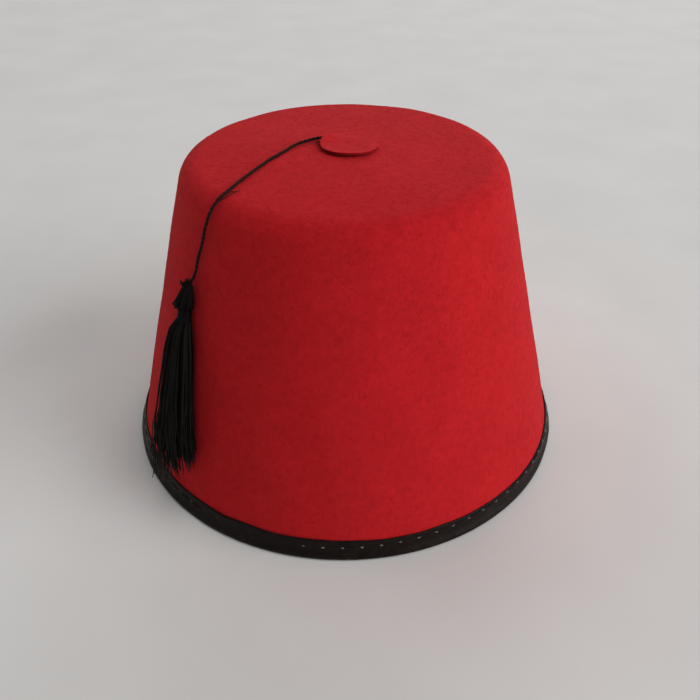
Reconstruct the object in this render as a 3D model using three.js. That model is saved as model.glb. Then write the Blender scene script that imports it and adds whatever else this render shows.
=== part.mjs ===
// A fez: a hollow felt crown with a bound rim, a felt button on its top, and a tassel on a cord.
// Millimetres, +Z up. The origin is the middle of the rim, on the surface that the hat stands on.
// The front faces -Y. Azimuths are in degrees around +Z, from the front towards +X.

import * as THREE from "three";

// Felt crown, measured on its outside
const RIM_RADIUS = 94.4; // of the side, carried down to the surface
const TOP_RADIUS = 62; // of the side, carried up to the shoulder's level
const SHOULDER_LEVEL = 124.3; // where the lines of the side and the top would meet
const SHOULDER_ROUND = 9.5;
const TOP_HEIGHT = 126.3; // middle of the slightly domed top
const FELT = 2; // thickness of the wall

// Rim binding: a strip folded up over both sides of the felt's lower edge
const STRIP = 0.8; // thickness
const BINDING_OUTSIDE = 8.3; // height of the strip's edge outside the hat
const BINDING_INSIDE = 8.4; // and inside it
const BINDING_ROUND = 1.2; // of the fold's two corners, which leave a flat ring to stand on

// Top button: a disc of the same felt, a little to one side of the middle
const BUTTON_RADIUS = 11.2;
const BUTTON_THICKNESS = 1.4;
const BUTTON_ROUND = 0.5;
const BUTTON_X = 1.8;
const BUTTON_Y = 0.4;

// Tassel and its cord
const CORD_DIAMETER = 1.5;
const GAP = 0.3; // between pieces that touch

// The cord leaves the button's edge, crosses the top, bends over the shoulder and hangs down the side.
const CORD_ROUTE = [
  [-8.35, 7.1, 127.6],
  [-12, 5.9, 127.4],
  [-15.5, 3.9, 127.25],
  [-18.8, 0.5, 127.15],
  [-21.7, -4, 127.05],
  [-24.6, -8.4, 126.9],
  [-27.3, -12.3, 126.75],
  [-29.9, -16.8, 126.55],
  [-32.2, -21.1, 126.35],
  [-34.8, -26.1, 126.15],
  [-37.1, -30.6, 125.9],
  [-39.3, -35.1, 125.6],
  [-41.4, -39, 125.2],
  [-43.2, -41.6, 124.2],
  [-44.6, -43.1, 122.7],
  [-45.9, -44.1, 120.8],
  [-47, -44.7, 118.4],
  [-48.1, -45, 115.5],
  [-49, -45.2, 112.4],
  [-49.9, -45.3, 109.2],
  [-51.1, -45.2, 105.9],
  [-52.2, -45.2, 102.6],
  [-53.1, -45.5, 99.2],
  [-54.3, -45.7, 96.1],
  [-55.7, -45.7, 94.2],
  [-56.4, -45.6, 92.6],
];

// Sections of the tassel from the bottom up. Each one stands on the felt's side, at a height on the side.
const SKIRT_SECTIONS = [
  { height: 26, azimuth: -43.8, halfWidth: 6.6, halfDepth: 5.4 },
  { height: 30, azimuth: -44.7, halfWidth: 7.4, halfDepth: 6.1 },
  { height: 38, azimuth: -45.9, halfWidth: 7.6, halfDepth: 6.3 },
  { height: 45, azimuth: -46.7, halfWidth: 7, halfDepth: 5.8 },
  { height: 52, azimuth: -47.3, halfWidth: 6.7, halfDepth: 5.6 },
  { height: 59, azimuth: -48, halfWidth: 6.2, halfDepth: 5.1 },
  { height: 67.5, azimuth: -48.9, halfWidth: 5.7, halfDepth: 4.7 },
  { height: 75, azimuth: -50.2, halfWidth: 4.4, halfDepth: 3.7 },
  { height: 78.8, azimuth: -51, halfWidth: 2.9, halfDepth: 2.4 },
];
const KNOT_SECTIONS = [
  { height: 79.2, azimuth: -51, halfWidth: 2.9, halfDepth: 2.4 },
  { height: 81.6, azimuth: -51, halfWidth: 3.1, halfDepth: 2.6 },
  { height: 84.8, azimuth: -50.6, halfWidth: 3.8, halfDepth: 3.1 },
  { height: 88.5, azimuth: -51, halfWidth: 3.3, halfDepth: 2.7 },
  { height: 91.5, azimuth: -51, halfWidth: 2.3, halfDepth: 1.9 },
];

// Fineness of the facets
const CROWN_SIDES = 72; // around the crown and its binding
const BUTTON_SIDES = 32;
const ARC_STEPS = 3; // half the steps of an arc in a section
const CORD_SIDES = 8;
const CORD_STEPS = 44;
const TASSEL_SIDES = 16;

const FELT_FINISH = { color: 0xa8181c, roughness: 0.95, metalness: 0 };
const BINDING_FINISH = { color: 0x1c1614, roughness: 0.45, metalness: 0 };
const THREAD_FINISH = { color: 0x0e0d0e, roughness: 0.8, metalness: 0 };

// How far the side leans in from the vertical, in radians.
const LEAN = Math.atan2(RIM_RADIUS - TOP_RADIUS, SHOULDER_LEVEL);

// Radius, at a height, of the line that runs along the side at a distance outside it.
function sideRadius(height, outside = 0) {
  return RIM_RADIUS - height * Math.tan(LEAN) + outside / Math.cos(LEAN);
}

// The point of the side at an azimuth and height, with the directions along the wall and out of it.
function sideFrame(azimuth, height) {
  const turn = THREE.MathUtils.degToRad(azimuth);
  const radial = new THREE.Vector3(Math.sin(turn), -Math.cos(turn), 0);
  return {
    foot: radial.clone().multiplyScalar(sideRadius(height)).setZ(height),
    across: new THREE.Vector3(Math.cos(turn), Math.sin(turn), 0),
    out: radial.multiplyScalar(Math.cos(LEAN)).setZ(Math.sin(LEAN)),
  };
}

// A solid of revolution about +Z, from a profile of radius and height.
function turned(profile, sides) {
  return new THREE.LatheGeometry(profile, sides).rotateX(Math.PI / 2);
}

// One face of the felt from its lower edge to the axis: the side, the shoulder's round and the dome,
// each tangent to the next. The inner face lies one felt inside the outer one.
function feltFace(inset, bottom) {
  const quarter = Math.PI / 2;
  const shoulderX = TOP_RADIUS - SHOULDER_ROUND * Math.tan((quarter - LEAN) / 2);
  const shoulderY = SHOULDER_LEVEL - SHOULDER_ROUND;
  const rise = TOP_HEIGHT - shoulderY;
  const domeRadius =
    (shoulderX ** 2 + rise ** 2 - SHOULDER_ROUND ** 2) / (2 * (rise - SHOULDER_ROUND));
  const domeStart = Math.acos(shoulderX / (domeRadius - SHOULDER_ROUND));
  const face = new THREE.Path();
  face.absarc(shoulderX, shoulderY, SHOULDER_ROUND - inset, LEAN, domeStart);
  face.absarc(0, TOP_HEIGHT - domeRadius, domeRadius - inset, domeStart, quarter);
  return [
    new THREE.Vector2(sideRadius(bottom, -inset), bottom),
    ...face.getPoints(ARC_STEPS),
  ];
}

// The crown is one hollow shell, open at the rim. Its edge sits in the fold of the binding.
function crownGeometry() {
  const bottom = STRIP + GAP;
  const profile = [...feltFace(FELT, bottom).reverse(), ...feltFace(0, bottom)];
  profile[0].x = 0;
  profile[profile.length - 1].x = 0;
  return turned(profile, CROWN_SIDES);
}

// The binding is a ring with a U section, open at the top, around the felt's lower edge.
function bindingGeometry() {
  const outer = GAP + STRIP;
  const inner = -FELT - outer;
  const at = (outside, height) => [sideRadius(height, outside), height];
  const section = new THREE.Path();
  section.moveTo(sideRadius(0, outer) - BINDING_ROUND, 0);
  section.quadraticCurveTo(...at(outer, 0), ...at(outer, BINDING_ROUND));
  section.lineTo(...at(outer, BINDING_OUTSIDE));
  section.lineTo(...at(GAP, BINDING_OUTSIDE));
  section.lineTo(...at(GAP, STRIP));
  section.lineTo(...at(-FELT - GAP, STRIP));
  section.lineTo(...at(-FELT - GAP, BINDING_INSIDE));
  section.lineTo(...at(inner, BINDING_INSIDE));
  section.lineTo(...at(inner, BINDING_ROUND));
  section.quadraticCurveTo(...at(inner, 0), sideRadius(0, inner) + BINDING_ROUND, 0);
  section.closePath();
  return turned(section.getPoints(ARC_STEPS), CROWN_SIDES);
}

// The button is a disc with rounded edges, lying on the middle of the dome.
function buttonGeometry() {
  const edge = BUTTON_RADIUS - BUTTON_ROUND;
  const quarter = Math.PI / 2;
  const section = new THREE.Path();
  section.lineTo(edge, 0);
  section.absarc(edge, BUTTON_ROUND, BUTTON_ROUND, -quarter, 0);
  section.absarc(edge, BUTTON_THICKNESS - BUTTON_ROUND, BUTTON_ROUND, 0, quarter);
  section.lineTo(0, BUTTON_THICKNESS);
  return turned(section.getPoints(ARC_STEPS), BUTTON_SIDES);
}

// The cord is a round tube along its route.
function cordGeometry() {
  const points = CORD_ROUTE.map((point) => new THREE.Vector3(...point));
  const section = new THREE.Shape();
  section.absarc(0, 0, CORD_DIAMETER / 2, 0, 2 * Math.PI);
  return new THREE.ExtrudeGeometry(section, {
    extrudePath: new THREE.CatmullRomCurve3(points),
    steps: CORD_STEPS,
    curveSegments: CORD_SIDES / 2,
  });
}

// A closed body through flattened round sections that stand on the felt's side. It starts as a
// column of unit radius whose height counts the sections, and each ring then moves to its section.
function tasselGeometry(sections) {
  const rings = sections.map((_, row) => new THREE.Vector2(1, row));
  const ends = [new THREE.Vector2(0, 0), new THREE.Vector2(0, sections.length - 1)];
  const body = new THREE.LatheGeometry([ends[0], ...rings, ends[1]], TASSEL_SIDES);
  const places = body.getAttribute("position");
  const place = new THREE.Vector3();
  for (let i = 0; i < places.count; i += 1) {
    place.fromBufferAttribute(places, i);
    const { height, azimuth, halfWidth, halfDepth } = sections[Math.round(place.y)];
    const { foot, across, out } = sideFrame(azimuth, height);
    const sideways = place.x * halfWidth;
    const outwards = GAP + halfDepth + place.z * halfDepth;
    foot.addScaledVector(across, sideways).addScaledVector(out, outwards);
    places.setXYZ(i, foot.x, foot.y, foot.z);
  }
  return body;
}

function piece(name, geometry, finish) {
  const mesh = new THREE.Mesh(geometry, new THREE.MeshStandardMaterial(finish));
  mesh.name = name;
  return mesh;
}

const button = piece("top_button", buttonGeometry(), FELT_FINISH);
button.position.set(BUTTON_X, BUTTON_Y, TOP_HEIGHT + GAP);

const fez = new THREE.Group();
fez.add(
  piece("crown", crownGeometry(), FELT_FINISH),
  piece("rim_binding", bindingGeometry(), BINDING_FINISH),
  button,
  piece("tassel_cord", cordGeometry(), THREAD_FINISH),
  piece("tassel_knot", tasselGeometry(KNOT_SECTIONS), THREAD_FINISH),
  piece("tassel_skirt", tasselGeometry(SKIRT_SECTIONS), THREAD_FINISH),
);

export default fez;
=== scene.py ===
# A felt fez with a black tassel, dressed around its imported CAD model. Metres, +Z up.
# The front of the hat faces -Y, and azimuths run around +Z from the front towards +X.

import math
from collections import namedtuple

import bpy
import numpy as np
from mathutils import Matrix, Vector


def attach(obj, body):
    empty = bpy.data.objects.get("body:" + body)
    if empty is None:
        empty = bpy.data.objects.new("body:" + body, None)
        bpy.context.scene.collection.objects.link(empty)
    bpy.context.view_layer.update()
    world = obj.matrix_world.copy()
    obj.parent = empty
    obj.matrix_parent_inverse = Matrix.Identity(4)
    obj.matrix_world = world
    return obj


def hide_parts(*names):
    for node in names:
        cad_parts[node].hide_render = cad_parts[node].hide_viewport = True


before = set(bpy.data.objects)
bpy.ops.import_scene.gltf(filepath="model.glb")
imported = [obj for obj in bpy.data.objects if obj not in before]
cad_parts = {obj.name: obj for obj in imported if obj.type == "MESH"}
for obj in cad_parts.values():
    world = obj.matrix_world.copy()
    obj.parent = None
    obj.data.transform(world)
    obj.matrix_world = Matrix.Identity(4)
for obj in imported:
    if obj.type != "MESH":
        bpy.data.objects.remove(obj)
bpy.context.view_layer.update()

MM = 0.001
TURN = 2 * math.pi
QUARTER = math.pi / 2
ROOT = "root"

# Columns of the tables below
Ripple = namedtuple("Ripple", "height length seed")
Spots = namedtuple("Spots", "size detail roughness")
Relief = namedtuple("Relief", "depth strength")
Thread = namedtuple("Thread", "name dark light")
Lamp = namedtuple("Lamp", "name azimuth elevation distance width watts")
SeamThread = namedtuple("SeamThread", "length diameter steps")
FibreBand = namedtuple("FibreBand", "name count lowest highest seed")


# Shapes as arrays

THREAD_SIDES = 6
THICK_THREAD_SIDES = 8
NEARLY_UP = 0.9  # height of a unit direction


def grid(rows, columns, first=0):
    """Quads between closed rows of points that follow each other; first is the number of the first point."""
    i = np.arange(rows - 1)[:, None] * columns + first
    j = np.arange(columns)[None, :]
    k = (j + 1) % columns
    return np.stack([i + j, i + k, i + columns + k, i + columns + j], axis=-1).reshape(-1, 4)


def closing(columns, last):
    """Quads from the closed row that starts at point number last back to the first row."""
    quads = grid(2, columns)
    return np.where(quads < columns, quads + last, quads - columns)


def fan(first, columns, centre):
    """Triangles from a closed row of points to one point."""
    j = np.arange(columns)
    return np.stack([first + j, first + (j + 1) % columns, np.full(columns, centre)], axis=-1)


def waves(points, wavelength, seed, count=28, spread=(0.7, 1.5)):
    """A smooth random field over points in space, about -1 to 1, with bumps of about half a wavelength."""
    rng = np.random.default_rng(seed)
    directions = unit(rng.normal(size=(count, 3)))
    pace = TURN / (wavelength * rng.uniform(*spread, count))
    phases = rng.uniform(0, TURN, count)
    return np.sin(points @ (directions * pace[:, None]).T + phases).sum(axis=1) / math.sqrt(count)


def ripples(points, layers):
    """The sum of several fields of waves."""
    return sum(layer.height * waves(points, layer.length, layer.seed) for layer in layers)


def unit(vectors):
    return vectors / np.linalg.norm(vectors, axis=-1, keepdims=True)


def offset(angle, origin, period=TURN):
    """How far angles are past the nearest repeat of an origin."""
    return (angle - origin + period / 2) % period - period / 2


def arc(radius, turn):
    """Points of a circle in a plane."""
    return np.stack([np.cos(turn), np.sin(turn)], axis=1) * radius


def travelled(points):
    """The distance along a line of points, at each of them."""
    return np.concatenate([[0], np.cumsum(np.linalg.norm(np.diff(points, axis=0), axis=1))])


def evenly_spaced(points, samples):
    """As many places as samples, at even distances along a line of points."""
    along = travelled(points)
    places = np.linspace(0, along[-1], samples)
    return np.stack([np.interp(places, along, axis) for axis in points.T], axis=1)


def even_path(points, samples, fineness=24):
    """A smooth path through points, as a Catmull-Rom curve, with evenly spaced samples."""
    points = np.asarray(points, float)
    ends = np.vstack([2 * points[0] - points[1], points, 2 * points[-1] - points[-2]])
    t = np.linspace(0, 1, fineness, endpoint=False)[:, None]
    pieces = []
    for a, b, c, d in zip(ends[:-3], ends[1:-2], ends[2:-1], ends[3:]):
        cubic = (3 * (b - c) + d - a) * t**3 + (2 * a - 5 * b + 4 * c - d) * t**2
        pieces.append(b + (cubic + (c - a) * t) / 2)
    return evenly_spaced(np.vstack([*pieces, points[-1:]]), samples)


def carried_frames(paths):
    """Two directions across each of many paths, turned as little as can be. paths is an array of path,
    step and xyz."""
    along = unit(np.gradient(paths, axis=1))
    start = np.where(np.abs(along[:, 0, 2:]) < NEARLY_UP, [[0.0, 0.0, 1.0]], [[1.0, 0.0, 0.0]])
    normal = np.empty_like(paths)
    normal[:, 0] = unit(np.cross(along[:, 0], start))
    for step in range(1, paths.shape[1]):
        before = normal[:, step - 1]
        lengthwise = (before * along[:, step]).sum(axis=1, keepdims=True)
        normal[:, step] = unit(before - lengthwise * along[:, step])
    return normal, np.cross(along, normal)


def tubes(paths, radii, sides, lobes=0, lobe_depth=0.0, twist=None):
    """Closed tubes along many paths of as many steps. A lobed section that twists shows the strands of a
    thread."""
    count, steps, _ = paths.shape
    normal, across = carried_frames(paths)
    around = np.arange(sides) * TURN / sides
    radius = np.broadcast_to(radii[..., None], (count, steps, sides))
    if lobes:
        radius = radius * (1 + lobe_depth * np.cos(lobes * (around - twist[..., None])))
    rings = (
        paths[:, :, None]
        + (radius * np.cos(around))[..., None] * normal[:, :, None]
        + (radius * np.sin(around))[..., None] * across[:, :, None]
    )
    cap = np.arange(sides)[None]
    first = (np.arange(count) * steps * sides)[:, None, None]
    walls = (grid(steps, sides)[None] + first).reshape(-1, 4)
    starts = (cap[:, ::-1] + first[:, 0]).reshape(-1, sides)
    ends = (cap + (steps - 1) * sides + first[:, 0]).reshape(-1, sides)
    return rings.reshape(-1, 3), [walls, starts, ends]


def even_tubes(paths, radius, sides=THREAD_SIDES):
    """Closed tubes of one radius."""
    return tubes(paths, np.full(paths.shape[:2], radius), sides)


def joined(shapes):
    """Several (points, faces) as one."""
    points, faces, first = [], [], 0
    for some, its_faces in shapes:
        points.append(some)
        faces += [f + first for f in its_faces]
        first += len(some)
    return np.vstack(points), faces


def new_object(name, data):
    made = bpy.data.objects.new(name, data)
    bpy.context.scene.collection.objects.link(made)
    return made


def new_piece(name, points, faces, materials, stands_for=(), choices=None, smooth=True):
    """A mesh that rides on the hat. choices gives each face's material, if there are several."""
    mesh = bpy.data.meshes.new(name)
    counts = np.concatenate([np.full(len(f), f.shape[1]) for f in faces])
    corners = np.concatenate([f.ravel() for f in faces])
    mesh.vertices.add(len(points))
    mesh.vertices.foreach_set("co", np.ascontiguousarray(points, np.float32).ravel())
    mesh.loops.add(len(corners))
    mesh.loops.foreach_set("vertex_index", corners.astype(np.int32))
    mesh.polygons.add(len(counts))
    starts = np.concatenate([[0], np.cumsum(counts)[:-1]])
    mesh.polygons.foreach_set("loop_start", starts.astype(np.int32))
    for material in materials:
        mesh.materials.append(material)
    if choices is not None:
        mesh.polygons.foreach_set("material_index", choices.astype(np.int32))
    mesh.update(calc_edges=True)
    if smooth:
        mesh.shade_smooth()
    piece = new_object(name, mesh)
    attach(piece, ROOT)
    if stands_for:
        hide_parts(*stands_for)
    return piece


# The hat's side and the profile of its felt, as in the CAD model

RIM_RADIUS = 94.4 * MM
TOP_RADIUS = 62 * MM
SHOULDER_LEVEL = 124.3 * MM
SHOULDER_ROUND = 9.5 * MM
TOP_HEIGHT = 126.3 * MM
FELT = 2 * MM
FELT_BOTTOM = 1.1 * MM
LEAN = math.atan2(RIM_RADIUS - TOP_RADIUS, SHOULDER_LEVEL)
POLE_RADIUS = 0.6 * MM  # of the row of points nearest to an axis
SHOULDER_SAMPLES = 40
DOME_SAMPLES = 200


def around_axis(radius, azimuth, height):
    """Points or directions around +Z."""
    return np.stack([radius * np.sin(azimuth), -radius * np.cos(azimuth), height + 0 * azimuth], axis=-1)


def side_radius(height, outside=0.0):
    return RIM_RADIUS - height * math.tan(LEAN) + outside / math.cos(LEAN)


def side_place(azimuth, height, sideways, outwards):
    """Points on the side at azimuths and heights, moved along the wall and out of it."""
    azimuth, height, sideways, outwards = np.broadcast_arrays(azimuth, height, sideways, outwards)
    radial = around_axis(1.0, azimuth, 0.0)
    across = np.stack([np.cos(azimuth), np.sin(azimuth), 0 * azimuth], axis=-1)
    up = np.array([0.0, 0.0, 1.0])
    out = radial * math.cos(LEAN) + up * math.sin(LEAN)
    foot = radial * side_radius(height)[..., None] + up * height[..., None]
    return foot + across * sideways[..., None] + out * outwards[..., None]


def felt_profile(inset, step):
    """Radius and height along one face of the felt, from its lower edge to just beside the axis."""
    shoulder_x = TOP_RADIUS - SHOULDER_ROUND * math.tan((QUARTER - LEAN) / 2)
    shoulder_z = SHOULDER_LEVEL - SHOULDER_ROUND
    rise = TOP_HEIGHT - shoulder_z
    dome = (shoulder_x**2 + rise**2 - SHOULDER_ROUND**2) / (2 * (rise - SHOULDER_ROUND))
    dome_start = math.acos(shoulder_x / (dome - SHOULDER_ROUND))
    turn = np.linspace(LEAN, dome_start, SHOULDER_SAMPLES)
    shoulder = arc(SHOULDER_ROUND - inset, turn) + [shoulder_x, shoulder_z]
    turn = np.linspace(dome_start, math.acos(POLE_RADIUS / dome), DOME_SAMPLES)[1:]
    top = arc(dome - inset, turn) + [0, TOP_HEIGHT - dome]
    rim = np.array([[side_radius(FELT_BOTTOM, -inset), FELT_BOTTOM]])
    dense = np.vstack([rim, shoulder, top])
    return evenly_spaced(dense, int(round(travelled(dense)[-1] / step)) + 1)


def profile_out(profile):
    """The direction out of a profile, as radius and height, at each of its points."""
    along = unit(np.gradient(profile, axis=0))
    return np.stack([along[:, 1], -along[:, 0]], axis=1)


def turned_points(profile, columns):
    """Rows of points around +Z, from a profile of radius and height, with the outward direction at each."""
    azimuth = np.arange(columns) * TURN / columns
    points = around_axis(profile[:, :1], azimuth, profile[:, 1:])
    out = profile_out(profile)
    directions = around_axis(out[:, :1], azimuth, out[:, 1:])
    return points.reshape(-1, 3), directions.reshape(-1, 3)


# Materials

FELT_RED = (0.52, 0.0132, 0.0172)
# The button's cut edge is painted darker by this factor: painted shade for the shadow under its lifted edge
CUT_EDGE_PAINTED_SHADE = 0.45
FELT_TONES = [(0.25, 0.8), (0.55, 1.0), (0.85, 1.2)]  # places on the ramp, shades of the red
FELT_STREAKS = Spots(0.55 * MM, 1.5, 0.5)
FELT_MOTTLE = Spots(3.2 * MM, 4.0, 0.6)
FELT_CLOUDS = Spots(22 * MM, 2.0, 0.5)
STREAK_STRETCH = 6.0
STREAK_TURNS = [(0.3, 1.2, 0.4), (1.1, 0.2, 2.0), (2.2, 1.9, 0.9), (0.7, 2.6, 1.5)]  # radians about x, y, z
NOISE_MIDDLE = 0.5
STRAND_REACH = 0.16  # how far from its middle the streaks' noise still makes a strand
STRAND_GAIN = 6.0
STRAND_SHARE = 0.30
CLOUD_SHARE = 0.5
TONE_GAIN = 0.62
MOTTLE_RELIEF = Relief(0.5 * MM, 0.35)
STRAND_RELIEF = Relief(0.12 * MM, 0.6)
FELT_FINISH = {
    "Roughness": 0.95,
    "Specular IOR Level": 0.05,
    "Sheen Weight": 0.2,
    "Sheen Roughness": 0.5,
    "Sheen Tint": (1.0, 0.18, 0.20, 1),
}

FIBRE_SHADES = (0.84, 0.96, 1.1, 1.28)  # of the felt's red
FIBRE_FINISH = {"Roughness": 0.85, "Specular IOR Level": 0.06}

STRIP_GRAIN = 0.8 * MM
STRIP_SCUFFS = Spots(5 * MM, 5.0, 0.65)
STRIP_COLOURS = [
    (0.3, (0.005, 0.0026, 0.0018)),
    (0.6, (0.011, 0.006, 0.0043)),
    (0.85, (0.035, 0.021, 0.015)),
]
STRIP_ROUGHNESS = {"From Min": 0.3, "From Max": 0.75, "To Min": 0.3, "To Max": 0.6}
STRIP_FINISH = {"Specular IOR Level": 0.12}
GRAIN_RELIEF = Relief(0.10 * MM, 0.5)
SCUFF_RELIEF = Relief(0.4 * MM, 0.3)

TASSEL_THREAD = Thread("black_thread", (0.0016, 0.0015, 0.0015), (0.007, 0.006, 0.0055))
WORN_THREAD = Thread("worn_black_thread", (0.005, 0.0042, 0.0038), (0.018, 0.015, 0.013))
# A paler thread, used only for the strays at the lower left
PALE_STRAY_THREAD = Thread("pale_stray_thread", (0.012, 0.009, 0.007), (0.07, 0.055, 0.045))
CORD_THREAD = Thread("brown_black_thread", (0.011, 0.0026, 0.002), (0.036, 0.010, 0.008))
SEAM_THREAD = Thread("seam_thread", (0.008, 0.006, 0.005), (0.02, 0.016, 0.014))
LOOP_THREAD = Thread("pale_thread", (0.10, 0.105, 0.10), (0.26, 0.26, 0.25))
THREAD_STREAKS = Spots(0.5 * MM, 3.0, 0.6)
THREAD_STOPS = (0.35, 0.75)  # of the dark and the light colour
THREAD_RELIEF = Relief(0.08 * MM, 0.5)
THREAD_FINISH = {
    "Roughness": 0.6,
    "Specular IOR Level": 0.12,
    "Sheen Weight": 0.1,
    "Sheen Roughness": 0.4,
}

FLOOR_SPOTS = Spots(60 * MM, 3.0, 0.5)
FLOOR_COLOURS = [(0.3, (0.76, 0.75, 0.735)), (0.7, (0.80, 0.79, 0.775))]
FLOOR_FINISH = {"Roughness": 0.85, "Specular IOR Level": 0.2}


def new_material(name):
    """A material, its node tree and its shader."""
    material = bpy.data.materials.new(name)
    material.use_nodes = True
    tree = material.node_tree
    return material, tree, tree.nodes["Principled BSDF"]


def set_inputs(node, values):
    for socket, given in values.items():
        node.inputs[socket].default_value = given


def math_node(tree, operation, *inputs):
    """A Math node's result; each input is a socket or a number."""
    node = tree.nodes.new("ShaderNodeMath")
    node.operation = operation
    for socket, given in zip(node.inputs, inputs):
        if isinstance(given, (int, float)):
            socket.default_value = given
        else:
            tree.links.new(given, socket)
    return node.outputs[0]


def noise(tree, spots, stretch=None, turn=None):
    """Noise with spots of about a given size; stretch makes them longer along one turned axis."""
    place = tree.nodes.new("ShaderNodeTexCoord").outputs["Object"]
    if stretch:
        mapping = tree.nodes.new("ShaderNodeMapping")
        mapping.vector_type = "TEXTURE"
        set_inputs(mapping, {"Rotation": turn, "Scale": (stretch, 1, 1)})
        tree.links.new(place, mapping.inputs["Vector"])
        place = mapping.outputs[0]
    node = tree.nodes.new("ShaderNodeTexNoise")
    set_inputs(node, {"Scale": 1 / spots.size, "Detail": spots.detail, "Roughness": spots.roughness})
    tree.links.new(place, node.inputs["Vector"])
    return node.outputs["Fac"]


def ramp(tree, source, stops, target):
    """A colour ramp from a source to a target socket: stops are (place, colour)."""
    node = tree.nodes.new("ShaderNodeValToRGB")
    elements = node.color_ramp.elements
    while len(elements) < len(stops):
        elements.new(0.5)
    for element, (place, colour) in zip(elements, stops):
        element.position = place
        element.color = (*colour, 1)
    tree.links.new(source, node.inputs["Fac"])
    tree.links.new(node.outputs["Color"], target)


def bump(tree, shader, height, relief, under=None):
    """Gives the shader a relief, on top of the one under it."""
    node = tree.nodes.new("ShaderNodeBump")
    set_inputs(node, {"Distance": relief.depth, "Strength": relief.strength})
    tree.links.new(height, node.inputs["Height"])
    if under:
        tree.links.new(under, node.inputs["Normal"])
    tree.links.new(node.outputs[0], shader.inputs["Normal"])
    return node.outputs[0]


def shaded(colour, factor):
    return tuple(min(1.0, c * factor) for c in colour)


def felt_strands(tree):
    """Thin ridges that cross in all directions, from stretched noise in several turns."""
    strands = None
    for turn in STREAK_TURNS:
        streak = noise(tree, FELT_STREAKS, STREAK_STRETCH, turn)
        away = math_node(tree, "ABSOLUTE", math_node(tree, "SUBTRACT", streak, NOISE_MIDDLE))
        line = math_node(tree, "SUBTRACT", STRAND_REACH, away)
        strands = line if strands is None else math_node(tree, "MAXIMUM", strands, line)
    return math_node(tree, "MULTIPLY", strands, STRAND_GAIN)


def felt_material(name, red):
    """Pressed felt: matted fibres in all directions, cloudy colour and a soft sheen."""
    material, tree, shader = new_material(name)
    strands = felt_strands(tree)
    mottle = noise(tree, FELT_MOTTLE)
    clouds = noise(tree, FELT_CLOUDS)
    mixed = math_node(tree, "ADD", math_node(tree, "MULTIPLY", strands, STRAND_SHARE), mottle)
    mixed = math_node(tree, "ADD", mixed, math_node(tree, "MULTIPLY", clouds, CLOUD_SHARE))
    level = math_node(tree, "MULTIPLY", mixed, TONE_GAIN)
    stops = [(place, shaded(red, shade)) for place, shade in FELT_TONES]
    ramp(tree, level, stops, shader.inputs["Base Color"])
    set_inputs(shader, FELT_FINISH)
    matted = bump(tree, shader, mottle, MOTTLE_RELIEF)
    bump(tree, shader, strands, STRAND_RELIEF, matted)
    return material


def fibre_materials():
    """Single felt fibres, in a few shades of the felt's own red."""
    made = []
    for shade in FIBRE_SHADES:
        material, _, shader = new_material(f"felt_fibre_{shade:.2f}")
        set_inputs(shader, {"Base Color": (*shaded(FELT_RED, shade), 1), **FIBRE_FINISH})
        made.append(material)
    return made


def leatherette_material():
    """Thin black coated strip: fine pebbled grain, scuffed gloss."""
    material, tree, shader = new_material("black_leatherette")
    cells = tree.nodes.new("ShaderNodeTexVoronoi")
    cells.feature = "F1"
    set_inputs(cells, {"Scale": 1 / STRIP_GRAIN})
    tree.links.new(tree.nodes.new("ShaderNodeTexCoord").outputs["Object"], cells.inputs["Vector"])
    scuffs = noise(tree, STRIP_SCUFFS)
    ramp(tree, scuffs, STRIP_COLOURS, shader.inputs["Base Color"])
    rough = tree.nodes.new("ShaderNodeMapRange")
    set_inputs(rough, STRIP_ROUGHNESS)
    tree.links.new(scuffs, rough.inputs["Value"])
    tree.links.new(rough.outputs[0], shader.inputs["Roughness"])
    set_inputs(shader, STRIP_FINISH)
    grain = bump(tree, shader, cells.outputs["Distance"], GRAIN_RELIEF)
    bump(tree, shader, scuffs, SCUFF_RELIEF, grain)
    return material


def thread_material(thread):
    """Spun thread: streaks of lighter fibre and a faint silky sheen."""
    material, tree, shader = new_material(thread.name)
    streaks = noise(tree, THREAD_STREAKS)
    stops = list(zip(THREAD_STOPS, (thread.dark, thread.light)))
    ramp(tree, streaks, stops, shader.inputs["Base Color"])
    set_inputs(shader, {**THREAD_FINISH, "Sheen Tint": (*thread.light, 1)})
    bump(tree, shader, streaks, THREAD_RELIEF)
    return material


def floor_material():
    material, tree, shader = new_material("pale_floor")
    ramp(tree, noise(tree, FLOOR_SPOTS), FLOOR_COLOURS, shader.inputs["Base Color"])
    set_inputs(shader, FLOOR_FINISH)
    return material


# Camera, floor and light

# The camera is fitted to the outline of the hat in the photograph, whose frame is square.
PHOTO_SIDE = 700  # pixels
FOCAL_LENGTH = 770  # pixels
SENSOR_WIDTH = 36  # millimetres, as lenses are given
CAMERA_PLACE = Vector((0, -284.65, 238.09)) * MM
CAMERA_AIM = Vector((2.13, 0, 29.94)) * MM
CAMERA_ROLL = math.radians(-0.11)
NEAREST_SEEN = 0.01
FARTHEST_SEEN = 20

FLOOR_RADIUS = 5.0
FLOOR_SIDES = 128

# Soft lamps that face the middle of the rim, with angles in degrees
LAMPS = [
    Lamp("key_right", 68, 25, 5.2, 4.4, 199),
    Lamp("back", 168, 25, 5.2, 3.6, 79),
    Lamp("back_left", -130, 42, 5.2, 3.6, 38),
    Lamp("overhead", 60, 80, 5.2, 3.6, 56),
]

# The studio around them, pale at the horizon and dim above: sine of the elevation, strength
STUDIO = [(-1, 0.445), (0.12, 0.445), (0.38, 0.08), (1, 0.062)]
STUDIO_COLOUR = (1.0, 0.985, 0.965)


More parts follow.
